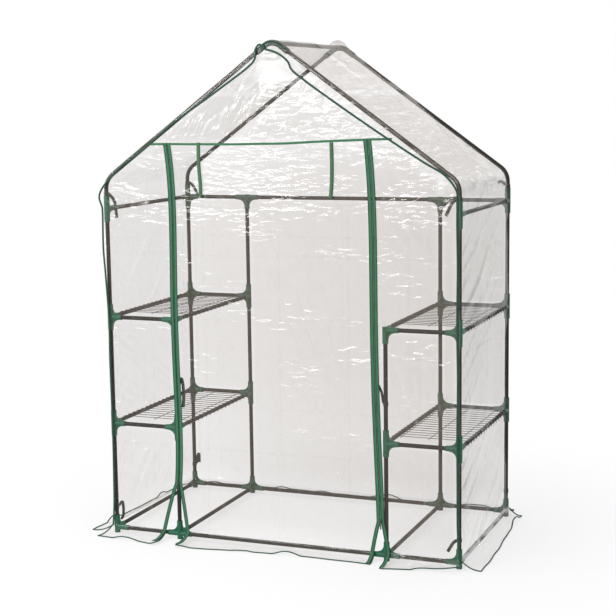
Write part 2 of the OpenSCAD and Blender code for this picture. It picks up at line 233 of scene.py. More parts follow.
class GreenhouseSettings(bpy.types.PropertyGroup):
    """All settings of the greenhouse"""
    film: PointerProperty(name="Film", description="Clear film of the cover", type=FilmSettings)
    trim: PointerProperty(name="Trim", description="Green zips, bindings and ties", type=TrimSettings)
    tubes: PointerProperty(name="Frame", description="Tubes, connectors and shelf wire", type=FrameSettings)
    stage: PointerProperty(name="Stage", description="Camera and light", type=StageSettings)


def settings():
    """The greenhouse's settings in the open scene."""
    return bpy.context.scene.greenhouse


# Shader helpers

# Heights of the relief that is drawn by bump
GRAIN_DEPTH, WEAVE_DEPTH, CRINKLE_DEPTH = 0.0004, 0.0003, 0.008


def feed(tree, made, values):
    """Sets a node's properties and inputs by name. A value that is a socket is linked there."""
    for key, value in values.items():
        if isinstance(value, bpy.types.NodeSocket):
            tree.links.new(value, made.inputs[key])
        elif key in made.inputs:
            made.inputs[key].default_value = value
        else:
            setattr(made, key, value)
    return made


def node(tree, kind, **values):
    """A new node of one kind, fed with values."""
    return feed(tree, tree.nodes.new(kind), values)


def maths(tree, operation, *values, clamp=False):
    """One Math node on values, each a socket or a number."""
    made = node(tree, "ShaderNodeMath", operation=operation, use_clamp=clamp)
    for socket, value in zip(made.inputs, values):
        if isinstance(value, (int, float)):
            socket.default_value = value
        else:
            tree.links.new(value, socket)
    return made.outputs[0]


def vector_maths(tree, operation, vector, other=None):
    """The outputs of one Vector Math node on a socket and a plain vector."""
    made = node(tree, "ShaderNodeVectorMath", operation=operation)
    tree.links.new(vector, made.inputs[0])
    if other is not None:
        made.inputs[1].default_value = other
    return made.outputs


def ramp(tree, value, low, high):
    """A smooth rise from 0 to 1 between two values of a socket, or a fall where low is over high."""
    limits = {"From Min": low, "From Max": high}
    return node(tree, "ShaderNodeMapRange", interpolation_type="SMOOTHSTEP", Value=value,
                **limits).outputs["Result"]


def mixed(tree, share, first, second):
    """A colour between two, each a socket or a plain colour."""
    made = node(tree, "ShaderNodeMix", data_type="RGBA")
    tree.links.new(share, made.inputs[0])
    for socket, colour in ((made.inputs[6], first), (made.inputs[7], second)):
        if isinstance(colour, bpy.types.NodeSocket):
            tree.links.new(colour, socket)
        else:
            socket.default_value = (*colour, 1)
    return made.outputs[2]


def shaded(tree, colour, value):
    """A colour socket made lighter or darker by a factor."""
    return node(tree, "ShaderNodeHueSaturation", Color=colour, Value=value).outputs["Color"]


def noise_texture(tree, vector, **values):
    """A noise texture's value on a vector socket."""
    return node(tree, "ShaderNodeTexNoise", Vector=vector, **values).outputs["Fac"]


def object_place(tree):
    """Object coordinates of the surface."""
    return tree.nodes.new("ShaderNodeTexCoord").outputs["Object"]


def axes(tree, vector):
    """The x, y and z of a vector socket."""
    return node(tree, "ShaderNodeSeparateXYZ", Vector=vector).outputs


def left_gable(tree, x, z):
    """1 on the left of the gable, where the film hangs in steep crinkles."""
    return maths(tree, "MULTIPLY", ramp(tree, z, 1.50, 1.62), ramp(tree, x, 0.10, -0.12))


def new_material(name):
    """A new node material, its tree and its Principled shader."""
    mat = bpy.data.materials.new(name)
    mat.use_nodes = True
    return mat, mat.node_tree, mat.node_tree.nodes["Principled BSDF"]


def new_group(name, inputs, outputs, kind="ShaderNodeTree"):
    """A node group with inputs (name, kind, default if any) and outputs (name, kind).

    Returns the tree and the sockets of its inputs."""
    tree = bpy.data.node_groups.new(name, kind)
    for label, socket_kind, *default in inputs:
        socket = tree.interface.new_socket(label, in_out="INPUT", socket_type="NodeSocket" + socket_kind)
        if default:
            socket.default_value = default[0]
    for label, socket_kind in outputs:
        tree.interface.new_socket(label, in_out="OUTPUT", socket_type="NodeSocket" + socket_kind)
    return tree, tree.nodes.new("NodeGroupInput").outputs


def grain_group():
    """Fine mottling and dust: a colour that varies about its input, a roughness and a height."""
    tree, enter = new_group(
        "surface_grain",
        [("Vector", "Vector"), ("Colour", "Color"), ("Scale", "Float", 60.0), ("Contrast", "Float", 0.3),
         ("Roughness", "Float", 0.4)],
        [("Colour", "Color"), ("Roughness", "Float"), ("Height", "Float")])
    broad, fine = (noise_texture(tree, enter["Vector"], Detail=detail,
                                 Scale=maths(tree, "MULTIPLY", enter["Scale"], factor))
                   for factor, detail in ((0.12, 3.0), (4.0, 2.0)))
    shade = maths(tree, "MULTIPLY", maths(tree, "SUBTRACT", broad, 0.5), enter["Contrast"])
    node(tree, "NodeGroupOutput", Height=fine,
         Colour=shaded(tree, enter["Colour"], maths(tree, "ADD", shade, 1.0)),
         Roughness=maths(tree, "MULTIPLY_ADD", shade, 0.5, enter["Roughness"], clamp=True))


def crinkle_group():
    """Small crinkles of film, in patches that lie across and gather towards the top: their height.

    On the left of the gable they run steeply down."""
    tree, enter = new_group("film_crinkle", [("Vector", "Vector"), ("Scale", "Float", 14.0)],
                            [("Height", "Float")])
    place = enter["Vector"]
    x, _, z = axes(tree, place)
    turned = node(tree, "ShaderNodeVectorRotate", rotation_type="Y_AXIS", Vector=place,
                  Angle=math.radians(62)).outputs[0]
    flat = vector_maths(tree, "MULTIPLY", place, (1.0, 1.0, 3.2))["Vector"]
    steep = vector_maths(tree, "MULTIPLY", turned, (0.8, 1.0, 3.2))["Vector"]
    across, down = (maths(tree, "SUBTRACT", noise_texture(
        tree, vector, Scale=enter["Scale"], Detail=0.8, Roughness=0.5, Distortion=0.7), 0.5)
        for vector in (flat, steep))
    turn = maths(tree, "SUBTRACT", down, across)
    ripple = maths(tree, "MULTIPLY_ADD", left_gable(tree, x, z), turn, across)
    spread = noise_texture(tree, flat, Detail=2.0, Scale=2.3)
    near_top = maths(tree, "MULTIPLY_ADD", ramp(tree, z, 0.95, 1.45), 0.125, spread)
    patches = maths(tree, "MULTIPLY_ADD", ramp(tree, near_top, 0.495, 0.655), 0.94, 0.06)
    node(tree, "NodeGroupOutput", Height=maths(tree, "MULTIPLY", ripple, patches))


def weave_group():
    """Woven tape: ribs across the weave as a height, and a colour of the threads with painted shade between
    them.
    """
    tree, enter = new_group(
        "woven_tape", [("Vector", "Vector"), ("Colour", "Color"), ("Thread", "Float", 900.0)],
        [("Colour", "Color"), ("Height", "Float")])
    ribs = [node(tree, "ShaderNodeTexWave", wave_type="BANDS", bands_direction=direction, Distortion=0.6,
                 Vector=enter["Vector"], Scale=enter["Thread"]).outputs["Fac"] for direction in ("X", "Z")]
    height = maths(tree, "MULTIPLY", *ribs)
    wear = noise_texture(tree, enter["Vector"], Scale=24.0, Detail=4.0)
    # Painted shade: darker where the ribs are low, between the threads, on a tone that varies at random
    shade = maths(tree, "MULTIPLY_ADD", height, 0.35, maths(tree, "MULTIPLY_ADD", wear, 0.5, 0.62))
    node(tree, "NodeGroupOutput", Colour=shaded(tree, enter["Colour"], shade), Height=height)


def group_node(tree, group, **values):
    """The outputs of a placed node group that reads Object coordinates."""
    return node(tree, "ShaderNodeGroup", node_tree=bpy.data.node_groups[group],
                Vector=object_place(tree), **values).outputs


def add_bump(tree, shader, height, strength, distance):
    """Fine relief on a shader from a height."""
    bump = node(tree, "ShaderNodeBump", Height=height, Strength=strength, Distance=distance)
    tree.links.new(bump.outputs["Normal"], shader.inputs["Normal"])


def grained_material(name, colour, scale, contrast, roughness, bump, back=None, gloss=0.25):
    """Coated metal or moulded plastic with fine mottling, and painted shade that dulls it towards the back
    if asked.
    """
    mat, tree, shader = new_material(name)
    base = (*colour, 1)
    if back:
        # Painted shade: the colour turns to a duller one towards the back
        base = mixed(tree, ramp(tree, axes(tree, object_place(tree))["Y"], -0.2, 0.2), colour, back)
    grain = group_node(tree, "surface_grain", Colour=base, Scale=scale, Contrast=contrast,
                       Roughness=roughness)
    feed(tree, shader, {"Base Color": grain["Colour"], "Roughness": grain["Roughness"],
                        "Specular IOR Level": gloss})
    add_bump(tree, shader, grain["Height"], bump, GRAIN_DEPTH)
    return mat


def woven_material(name, colour, thread):
    """Sewn tape with a visible weave."""
    mat, tree, shader = new_material(name)
    weave = group_node(tree, "woven_tape", Colour=(*colour, 1), Thread=thread)
    feed(tree, shader, {"Base Color": weave["Colour"], "Roughness": 0.62, "Specular IOR Level": 0.25,
                        "Sheen Weight": 0.15})
    add_bump(tree, shader, weave["Height"], 0.5, WEAVE_DEPTH)
    return mat


def film_material():
    """Clear glossy film: nearly see-through, duller at a grazing view; painted highlight on fold ridges,
    painted shade in valleys.

    Painted shade makes it more opaque to the right, painted light clearer to the top; more opaque on the
    right slope and steep crinkles.
    The mesh's "fold" attribute is its curvature, 1 on ridges and -1 in valleys, and "touch" is 1 where
    it lies on a tube, which shows through it there."""
    mat, tree, shader = new_material("clear_film")
    film = settings().film
    feed(tree, shader, {"Roughness": 0.145, "IOR": 1.65, "Specular IOR Level": 1.0})
    add_bump(tree, shader, group_node(tree, "film_crinkle", Scale=14.0)["Height"], 1.0, CRINKLE_DEPTH)
    place = object_place(tree)
    x, _, z = axes(tree, place)
    fold, touch = (node(tree, "ShaderNodeAttribute", attribute_name=label).outputs["Fac"]
                   for label in ("fold", "touch"))

    right_wall = ramp(tree, x, X_OUT, X_OUT + TUBE_R)
    low_right = maths(tree, "MULTIPLY", right_wall, ramp(tree, z, 0.95, 0.30))
    slope_out = EAVE_R + EAVE_X * math.sin(PITCH) + BEND_Z * math.cos(PITCH)
    out = vector_maths(tree, "DOT_PRODUCT", place, (math.sin(PITCH), 0, math.cos(PITCH)))["Value"]
    right_slope = maths(tree, "MULTIPLY", ramp(tree, out, slope_out - 0.03, slope_out - 0.01),
                        ramp(tree, z, 1.40, 1.50))
    # The painted highlight and shade of the folds are made stronger on the right wall
    fold = maths(tree, "MULTIPLY", fold, maths(tree, "MULTIPLY_ADD", right_wall, 1.4, 1.0))
    ridge = maths(tree, "MAXIMUM", fold, 0.0)
    valley = maths(tree, "MAXIMUM", maths(tree, "MULTIPLY", fold, -1.0), 0.0)
    edge_on = node(tree, "ShaderNodeLayerWeight", Blend=0.35).outputs["Facing"]
    graze = maths(tree, "MULTIPLY", edge_on, edge_on)

    # Painted highlight whitens the film on fold ridges, and painted shade darkens it in fold valleys
    painted_fold_light = mixed(tree, maths(tree, "MULTIPLY", ridge, 0.75), film.colour, (0.95, 0.95, 0.95))
    painted_fold_light = mixed(tree, maths(tree, "MULTIPLY", valley, 0.8), painted_fold_light, (0.10, 0.09, 0.08))
    # Painted shade: the film is made more opaque, and so darker, towards the right
    opacity = maths(tree, "MULTIPLY_ADD", x, 0.090, film.haze - 0.124)
    # Clearer near the ground and low on the right wall, clearer at the top as painted light; more opaque on
    # the right slope, in the steep crinkles, edge-on and under the painted fold highlight and shade
    for mask, share in (
            (ramp(tree, z, 0.04, 0.14), 0.085), (ramp(tree, z, 0.12, 0.75), 0.045),
            (ramp(tree, z, 1.30, 1.54), -0.062), (left_gable(tree, x, z), 0.055), (right_slope, 0.12),
            (low_right, -0.15), (graze, 0.26), (ridge, 0.26), (valley, 0.24)):
        opacity = maths(tree, "MULTIPLY_ADD", mask, share, opacity, clamp=True)
    tight = maths(tree, "MULTIPLY_ADD", right_wall, 0.45, 0.55)
    clear = maths(tree, "SUBTRACT", 1.0, maths(tree, "MULTIPLY", touch, tight))
    feed(tree, shader, {"Base Color": painted_fold_light, "Alpha": maths(tree, "MULTIPLY", opacity, clear)})
    return mat


MATERIALS = {}


def build_materials():
    """All finishes of the greenhouse."""
    grain_group()
    crinkle_group()
    weave_group()
    tubes, trim = settings().tubes, settings().trim
    # name, colour, scale, contrast, roughness, bump, colour of the painted shade at the back, gloss
    grained = {
        "tube": ("coated_tube", tubes.tube, 45.0, 0.5, 0.34, 0.12, None, 0.04),
        "connector": ("moulded_connector", tubes.connector, 70.0, 0.35, 0.42, 0.2, tubes.connector_back_shade),
        "apex": ("dark_connector", (0.016, 0.040, 0.027), 70.0, 0.35, 0.42, 0.2),
        "wire": ("coated_wire", tubes.wire, 90.0, 0.4, 0.38, 0.1),
        "tooth": ("zip_tooth", trim.dark, 300.0, 0.2, 0.35, 0.05),
        "thread": ("sewing_thread", (0.06, 0.24, 0.13), 400.0, 0.3, 0.6, 0.1),
        "slider": ("zip_slider", (0.05, 0.06, 0.055), 200.0, 0.3, 0.3, 0.1),
    }
    # name, colour, threads
    woven = {
        "tape": ("green_tape", trim.colour, 520.0),
        "piping": ("dark_piping", trim.dark, 640.0),
        "strap": ("dark_strap", (0.022, 0.036, 0.029), 420.0),
        "tie": ("tie_tape", (0.065, 0.16, 0.075), 520.0),
    }
    MATERIALS.update({key: grained_material(*values) for key, values in grained.items()})
    MATERIALS.update({key: woven_material(*values) for key, values in woven.items()})
    MATERIALS["film"] = film_material()


# Mesh helpers

def placed(name, data):
    """An object at the origin of the scene for a mesh, curve, light or camera."""
    made = bpy.data.objects.new(name, data)
    bpy.context.scene.collection.objects.link(made)
    return made


def new_object(name, points, faces, material, uvs=None):
    """A smooth mesh at the origin, with its UVs by vertex if given."""
    mesh = bpy.data.meshes.new(name)
    mesh.from_pydata([tuple(p) for p in points], [], faces)
    mesh.validate()
    if uvs is not None:
        layer = mesh.uv_layers.new(name="sheet")
        corners = np.empty(len(mesh.loops), dtype=np.int32)
        mesh.loops.foreach_get("vertex_index", corners)
        layer.data.foreach_set("uv", np.asarray(uvs, dtype=np.float32)[corners].ravel())
    mesh.polygons.foreach_set("use_smooth", [True] * len(mesh.polygons))
    mesh.materials.append(material)
    return placed(name, mesh)


def refinish(node_name, finish):
    """Gives a CAD node one of the finishes."""
    mesh = frame["nodes"][node_name].data
    mesh.materials.clear()
    mesh.materials.append(MATERIALS[finish])


# Rise of a mesh point over its neighbours that counts as a sharp fold
SHARP_BEND = 0.0009


def grid_faces(rows, columns, flip=False):
    """Quads of a grid of points stored row by row."""
    faces = []
    for i in range(rows - 1):
        for j in range(columns - 1):
            a = i * columns + j
            quad = (a, a + 1, a + columns + 1, a + columns)
            faces.append(quad[::-1] if flip else quad)
    return faces


def fold_mask(grid):
    """Curvature of a grid of points, scaled to run from -1 in valleys to 1 on ridges."""
    mask = np.zeros(grid.shape[:2])
    inner = grid[1:-1, 1:-1]
    bend = (grid[:-2, 1:-1] + grid[2:, 1:-1] + grid[1:-1, :-2] + grid[1:-1, 2:]) / 4 - inner
    normal = np.cross(grid[1:-1, 2:] - grid[1:-1, :-2], grid[2:, 1:-1] - grid[:-2, 1:-1])
    normal /= np.maximum(np.linalg.norm(normal, axis=2), 1e-9)[:, :, None]
    mask[1:-1, 1:-1] = np.clip((bend * normal).sum(axis=2) / SHARP_BEND, -1, 1)
    return mask.ravel()


def sweep(path, normals, profile):
    """Points and faces of a closed profile swept along a path.

    The profile's points are (across, out): out follows the normals, across is square to path and normal."""
    path, normals = np.asarray(path, float), np.asarray(normals, float)
    ways = np.gradient(path, axis=0)
    ways /= np.linalg.norm(ways, axis=1)[:, None]
    across = np.cross(ways, normals)
    across /= np.linalg.norm(across, axis=1)[:, None]
    out = np.cross(across, ways)
    points = []
    for centre, a, o in zip(path, across, out):
        points += [centre + a * u + o * v for u, v in profile]
    count, rows = len(profile), len(path)
    faces = []
    for i in range(rows - 1):
        for j in range(count):
            k = (j + 1) % count
            faces.append((i * count + j, i * count + k, (i + 1) * count + k, (i + 1) * count + j))
    faces.append(tuple(range(count))[::-1])
    faces.append(tuple((rows - 1) * count + j for j in range(count)))
    return points, faces


def ellipse(width, height, sides=10):
    """A closed profile with half sizes width across and height out."""
    turn = np.linspace(0, 2 * math.pi, sides, endpoint=False)
    return [(width * math.cos(t), height * math.sin(t)) for t in turn]


def joined(name, parts, material):
    """One mesh object from several closed shells (points, faces), turned outwards."""
    points, faces = [], []
    for some_points, some_faces in parts:
        start = len(points)
        points += list(some_points)
        faces += [tuple(i + start for i in face) for face in some_faces]
    made = new_object(name, points, faces, material)
    shell = bmesh.new()
    shell.from_mesh(made.data)
    bmesh.ops.recalc_face_normals(shell, faces=shell.faces)
    shell.to_mesh(made.data)
    shell.free()
    return made


def smooth_path(points, step):
    """A smooth curve through points, at about equal steps (Catmull-Rom)."""
    pts = [np.asarray(p, float) for p in points]
    pts = [2 * pts[0] - pts[1]] + pts + [2 * pts[-1] - pts[-2]]
    out = []
    for i in range(1, len(pts) - 2):
        p0, p1, p2, p3 = pts[i - 1:i + 3]
        count = max(2, int(np.linalg.norm(p2 - p1) / step))
        for t in np.linspace(0, 1, count, endpoint=False):
            out.append(0.5 * (2 * p1 + (p2 - p0) * t + (2 * p0 - 5 * p1 + 4 * p2 - p3) * t * t
                              + (3 * p1 - p0 - 3 * p2 + p3) * t ** 3))
    out.append(pts[-2])
    return np.array(out)


def ride(piece):
    """Every piece rides the one body."""
    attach(piece, "root")
    return piece


# Geometry Nodes

def row_tree():
    """Wires: the input curve made round, repeated in a row by a step."""
    tree, enter = new_group(
        "wire_row", [("Geometry", "Geometry"), ("Count", "Int"), ("Step", "Vector"), ("Radius", "Float"),
                     ("Material", "Material")], [("Geometry", "Geometry")], "GeometryNodeTree")
    section = node(tree, "GeometryNodeCurvePrimitiveCircle", Resolution=8, Radius=enter["Radius"])
    wire = feed(tree, tree.nodes.new("GeometryNodeCurveToMesh"), {
        "Curve": enter["Geometry"], "Profile Curve": section.outputs["Curve"], "Fill Caps": True})
    places = node(tree, "GeometryNodeMeshLine", Count=enter["Count"], Offset=enter["Step"])
    finish_tree(tree, enter, Points=places.outputs["Mesh"], Instance=wire.outputs["Mesh"])


def along_tree():
    """Teeth or stitches: a small block repeated along the input curve."""
    tree, enter = new_group(
        "row_along_path", [("Geometry", "Geometry"), ("Pitch", "Float"), ("Size", "Vector"),
                           ("Material", "Material")], [("Geometry", "Geometry")], "GeometryNodeTree")
    places = node(tree, "GeometryNodeCurveToPoints", mode="LENGTH", Curve=enter["Geometry"],
                  Length=enter["Pitch"]).outputs
    tooth = node(tree, "GeometryNodeMeshCube", Size=enter["Size"])
    finish_tree(tree, enter, Points=places["Points"], Instance=tooth.outputs["Mesh"],
                Rotation=places["Rotation"])


def finish_tree(tree, enter, **sockets):
    """Copies of an instance at points, realized and given their material."""
    copies = node(tree, "GeometryNodeInstanceOnPoints", **sockets)
    real = node(tree, "GeometryNodeRealizeInstances", Geometry=copies.outputs["Instances"])
    paint = node(tree, "GeometryNodeSetMaterial", Geometry=real.outputs["Geometry"],
                 Material=enter["Material"])
    node(tree, "NodeGroupOutput", Geometry=paint.outputs["Geometry"])


def grown(name, paths, tree_name, **values):
    """The mesh that a geometry tree grows on some paths, as a plain object."""
    curve = bpy.data.curves.new(name, "CURVE")
    curve.dimensions = "3D"
    for path in paths:
        spline = curve.splines.new("POLY")
        spline.points.add(len(path) - 1)
        for point, place in zip(spline.points, path):
            point.co = (*place, 1)
    guide = placed(name + ".guide", curve)
    tree = bpy.data.node_groups[tree_name]
    modifier = guide.modifiers.new(tree_name, "NODES")
    modifier.node_group = tree
    for item in tree.interface.items_tree:
        if item.in_out == "INPUT" and item.name in values:
            modifier[item.identifier] = values[item.name]
    graph = bpy.context.evaluated_depsgraph_get()
    mesh = bpy.data.meshes.new_from_object(guide.evaluated_get(graph), depsgraph=graph)
    mesh.name = name
    bpy.data.objects.remove(guide)
    bpy.data.curves.remove(curve)
    return placed(name, mesh)


# Film shape

SIDES = ((-1, "left"), (1, "right"))
WALL_X = X_OUT + FILM
COVER_Y = Y_POST + FILM
RAIL_Z = (BASE_Z, *SHELF_Z, EAVE_Z)
POST_TOP = EAVE_Z + 0.1
# Distances from a tube's middle: film is held within the first and hangs free from the second
HELD, FREE = 0.012, 0.13
# Likewise: film touches the tube within the first and stands apart from the second
TOUCHING, APART = 0.009, 0.022
# Seen from above, a side rail shows through film this much higher than it
TOUCH_RISE = 0.008
CREASE_W, CREASE_H, SMALL_H = 0.010, 0.0006, 0.0016
# Gaps from a tube to the film round it, and from the cover's edge to the front and back film
SKIN, EDGE_GAP = 0.0012, 0.0006
# Distances over which film widens round the ridge connectors, and round the others
APEX_REACH, JOINT_REACH = (0.06, 0.12), (0.05, 0.10)
# Sag of the roof and walls between tubes, and height of the peak at the back end of the ridge
COVER_SAG, PEAK_H = 0.006, 0.026
# How far film that is held may still sink in
SINK = 0.0006
SKIRT_ROWS = 10


def smoothstep(low, high, value):
    """A smooth rise from 0 to 1 between two values."""
    t = np.clip((value - low) / (high - low), 0, 1)
    return t * t * (3 - 2 * t)


def noise_at(a, b, seed):
    """Smooth noise from -1 to 1 at arrays of places."""
    return np.array([noise.noise((x, y, seed)) for x, y in zip(a, b)])


def near_members(a, b, members):
    """Distance from each place (a, b) to the nearest frame member, each a segment (a0, b0, a1, b1)."""
    places = np.stack([a, b], axis=1)
    best = np.full(len(a), 9.0)
    for a0, b0, a1, b1 in members:
        start, way = np.array([a0, b0]), np.array([a1 - a0, b1 - b0])
        t = np.clip((places - start) @ way / (way @ way), 0, 1)
        best = np.minimum(best, np.linalg.norm(places - start - t[:, None] * way, axis=1))
    return best


def crease(a, gap):
    """Sharp ridge along lines a gap apart, turning up and down by turns."""
    line = np.round(a / gap)
    return np.exp(-((a - line * gap) / CREASE_W) ** 2) * np.where(line % 2 == 0, 1, -1)


def film_lift(a, b, members, seed, slant=0.6, tension=1.0, sag=0.0, soft=False):
    """How far film stands out of its plane at places (a, b), held flat where it lies on the frame.

    It is pulled into sharp folds, or into soft close waves."""
    film = settings().film
    free = smoothstep(HELD, FREE, near_members(a, b, members))
    broad = noise_at(a * 2.6, b * 1.9, seed) + 0.5 * noise_at(a * 5.3, b * 4.1, seed + 3)
    across = a * math.cos(slant) + b * math.sin(slant)
    along = b * math.cos(slant) - a * math.sin(slant)
    if soft:
        pulls = 1.3 * noise_at(across * 19, along * 3.2, seed + 7)
    else:
        pulls = (1 - np.abs(noise_at(across * 11, along * 1.7, seed + 7))) ** 2.5
    patches = np.clip(noise_at(a * 1.7, b * 1.7, seed + 11) + 0.35, 0, 1)
    small = noise_at(a * 17, b * 15, seed + 13) * 0.5 + noise_at(a * 33, b * 29, seed + 17) * 0.25
    folds = crease(a + 0.004 * broad, film.crease_gap) + crease(b + 0.004 * broad, film.crease_gap * 1.3)
    lift = film.wrinkle * (broad + tension * 0.85 * pulls * patches)
    lift += SMALL_H * small + CREASE_H * folds - sag
    held = np.maximum(lift * 0.2, -SINK)
    return held * (1 - free) + lift * free


def hug_corners(points):
    """Rounds the cover's square corners onto the front and back frames, over their connectors."""
    x, y, z = np.array(points, float).T
    side, across, end = np.where(x < 0, -1, 1), np.abs(x), np.where(y < 0, -1, 1)
    at_eave = np.clip(np.arctan2(across - EAVE_X, z - BEND_Z), PITCH, UPRIGHT)
    at_ridge = np.clip(np.arctan2(across, z - RIDGE_Z), 0, PITCH)
    high = at_ridge < PITCH
    turn = np.where(high, at_ridge, at_eave)
    nx, nz = np.sin(turn), np.cos(turn)
    u = np.where(high, across * nx + (z - RIDGE_Z) * nz - RIDGE_R,
                 (across - EAVE_X) * nx + (z - BEND_Z) * nz - EAVE_R) + FILM
    v = np.abs(y) - Y_POST
    joint = 1 - smoothstep(*APEX_REACH, TOP_Z - z)
    for level in RAIL_Z:
        joint = np.maximum(joint, 1 - smoothstep(*JOINT_REACH, np.abs(z - level)))
    round_tube, round_joint = TUBE_R + SKIN, FILM - 0.001
    radius = round_tube + (round_joint - round_tube) * joint
    fade = smoothstep(SKIRT_Z, SKIRT_Z + 0.1, z)
    scale = (radius + np.maximum(u, v) - FILM) / np.maximum(np.hypot(u, v), 1e-6)
    corner = (u > 0) & (v > 0)
    beside_u = (radius - FILM) * smoothstep(-0.06, 0, v) * (v <= 0) * (u > 0)
    beside_v = (radius - FILM) * smoothstep(-0.022, 0, u) * (u <= 0) * (v > 0)
    du = np.where(corner, u * (scale - 1), beside_u)
    dv = np.where(corner, v * (scale - 1), beside_v)
    du, dv = du * fade, dv * fade
    return np.stack([x + side * du * nx, y + end * dv, z + du * nz], axis=1)


def film_touch(a, b, members):
    """1 where film lies on a frame member and 0 away from it."""
    return 1 - smoothstep(TOUCHING, APART, near_members(a, b, members))


def on_slope(share):
    """(x, z) of the straight right slope at a share of the way down."""
    return tuple(top + (foot - top) * share for top, foot in zip(SLOPE_TOP, SLOPE_FOOT))


def wrap_profile():
    """The cover's section on the right from the ridge to the skirt, and its length.

    Its rows are (place along the section, x, z, nx, nz)."""
    bend = UPRIGHT - PITCH
    sections = (
        (RIDGE_R * PITCH, lambda t: arc(0, RIDGE_Z, RIDGE_R, t * PITCH)),
        (math.dist(SLOPE_TOP, SLOPE_FOOT), lambda t: (*on_slope(t), PITCH)),
        (EAVE_R * bend, lambda t: arc(EAVE_X, BEND_Z, EAVE_R, PITCH + t * bend)),
        (BEND_Z - SKIRT_Z, lambda t: (WALL_X, BEND_Z + (SKIRT_Z - BEND_Z) * t, UPRIGHT)))
    rows, total = [], 0.0
    for length, at in sections:
        count = max(4, round(length / settings().film.mesh_step))
        for k in range(count):
            x, z, turn = at(k / count)
            rows.append((total + k / count * length, x, z, math.sin(turn), math.cos(turn)))
        total += length
    return rows, total


def skirt_reach(place, laid, seed):
    """Reach of the skirt at places along its edge, as it was laid out."""
    where, reach = zip(*laid)
    return np.interp(place, where, reach) * (1.0 + 0.07 * noise_at(place * 9.1, place * 0, seed))


def skirt_wave(place, seed):
    """Height of the skirt's outer edge over the ground."""
    return HEM_R + 0.030 * np.clip(noise_at(place * 8.7, place * 0, seed + 5) - 0.04, 0, 1)


def half_width(z):
    """Half width of the cover at a height."""
    if z <= BEND_Z:
        return WALL_X
    if z <= SLOPE_FOOT[1]:
        return EAVE_X + math.sqrt(EAVE_R ** 2 - (z - BEND_Z) ** 2)
    if z <= SLOPE_TOP[1]:
        return SLOPE_FOOT[0] - (z - SLOPE_FOOT[1]) / math.tan(PITCH)
    return math.sqrt(max(RIDGE_R ** 2 - (z - RIDGE_Z) ** 2, 0.0))


def film_edge(z):
    """Half width of the front and back film at a height."""
    return half_width(z) - EDGE_GAP


def film_sheet(name, grid, touch, flip, nodes):
    """A film piece from a grid of points."""
    rows, columns = touch.shape
    uvs = [(j / (columns - 1), i / (rows - 1)) for i in range(rows) for j in range(columns)]
    piece = new_object(name, grid.reshape(-1, 3), grid_faces(rows, columns, flip), MATERIALS["film"], uvs)
    mask = fold_mask(grid) * (1 if flip else -1)
    for label, values in (("fold", mask), ("touch", touch.ravel())):
        piece.data.attributes.new(label, "FLOAT", "POINT").data.foreach_set("value", values)
    ride(piece)
    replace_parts(piece, *nodes)


def cover_members(length):
    """Frame members under the cover, as (place, y) ends along its section."""
    members = [(-length, y, length, y) for y in (-Y_POST, Y_POST)] + [(0, -Y_POST, 0, Y_POST)]
    for z in RAIL_Z:
        place = length - (z - SKIRT_Z)
        members += [(side * place, -Y_POST, side * place, Y_POST) for side, _ in SIDES]
    return members


class PIECE_OT_cover_wrap(bpy.types.Operator):
    """Walls, eaves, roof and side skirts, in one sheet over the frame"""
    bl_idname = "greenhouse.cover_wrap"
    bl_label = "Cover Over Walls and Roof"

    def execute(self, context):
        right, length = wrap_profile()
        left = [(-place, -x, z, -nx, nz) for place, x, z, nx, nz in right[:0:-1]]
        columns = round(2 * COVER_Y / settings().film.mesh_step)
        ys = np.linspace(-COVER_Y, COVER_Y, columns)
        places, x, z, nx, nz = np.repeat(np.array(left + right), columns, axis=0).T
        depths = np.tile(ys, len(left + right))
        members = cover_members(length)
        tension = 0.6 + 1.2 * smoothstep(-0.2, 0.4, places)
        lift = film_lift(depths, places, members, 2.5, slant=1.06, tension=tension, sag=COVER_SAG,
                         soft=True)
        lift += PEAK_H * np.exp(-((depths - Y_POST - 0.01) / 0.05) ** 2 - ((places + 0.012) / 0.045) ** 2)
        hugged = hug_corners(np.stack([x + lift * nx, depths, z + lift * nz], axis=1))
        grid = np.concatenate([side_skirt(-1, ys)[::-1], hugged.reshape(-1, columns, 3), side_skirt(1, ys)])
        touch = np.zeros(grid.shape[:2])
        raised = places + TOUCH_RISE * np.sign(places)
        touch[SKIRT_ROWS:-SKIRT_ROWS] = film_touch(depths, raised, members).reshape(-1, columns)
        film_sheet("cover_wrap", grid, touch, False,
                   ["left_wall_film", "right_wall_film", "left_eave_film", "right_eave_film",
                    "left_roof_film", "right_roof_film", "ridge_film", "ground_skirt"])
        return {"FINISHED"}


def skirt_grid(start, outward, place, laid, seed):
    """Rows of a skirt from the foot of a wall outwards: start and place are arrays along the wall.

    It leaves the wall steeply and lies down on the ground."""
    reach, wave = skirt_reach(place, laid, seed), skirt_wave(place, seed)
    spread = SKIRT_FLARE * np.exp(-((place + X_OUT) / 0.1) ** 2) if laid is SKIRT_FRONT else 0.0
    rows = []
    for k in range(SKIRT_ROWS):
        out = k / (SKIRT_ROWS - 1)
        up = (1 - out) ** 2
        row = np.array(start, float)
        row[:, :2] += np.outer(reach * out, outward)
        row[:, 0] -= spread * out
        row[:, 2] = SKIRT_Z * up + wave * out ** 1.5 * (1 - up)
        rows.append(row)
    return np.array(rows)


def side_skirt(side, ys):
    """The skirt of the left or right wall, front to back."""
    start = np.stack([np.full(len(ys), side * WALL_X), ys, np.full(len(ys), SKIRT_Z)], axis=1)
    return skirt_grid(start, (side, 0), ys, SKIRT_RIGHT if side > 0 else SKIRT_LEFT, 20.5 + side)


